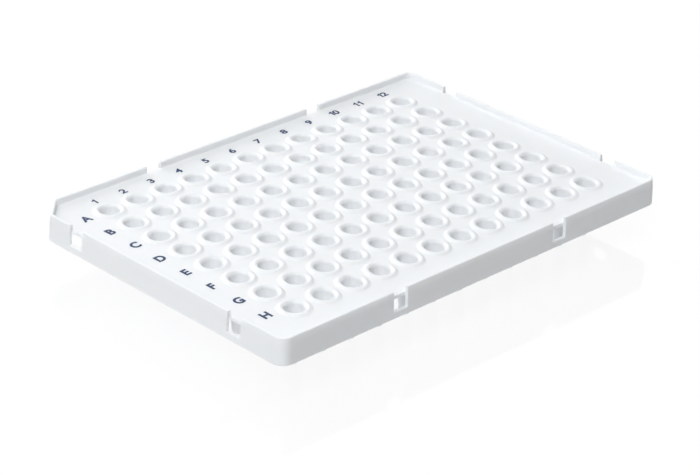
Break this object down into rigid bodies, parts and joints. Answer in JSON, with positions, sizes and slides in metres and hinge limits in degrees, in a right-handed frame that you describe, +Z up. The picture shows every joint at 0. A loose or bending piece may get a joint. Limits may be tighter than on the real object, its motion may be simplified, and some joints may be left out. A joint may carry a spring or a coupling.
{
  "type": "well plate",
  "caption": "Low, semi-skirted well plate: a white moulded tray of small conical tubes in a lettered grid, with one cut corner and slots in its skirt.",
  "frame": {"origin": "middle of the plate, at the plane that the tubes' tips stand on", "axes": "+X along the rows towards the last column, +Y along the columns towards the first row, +Z up out of the wells; the cut corner is at -X +Y"},
  "size_m": [0.1278, 0.0854, 0.0152],
  "materials": {
    "white_polypropylene": "satin"
  },
  "bodies": {
    "root": {"plate": "white_polypropylene"}
  },
  "joints": []
}
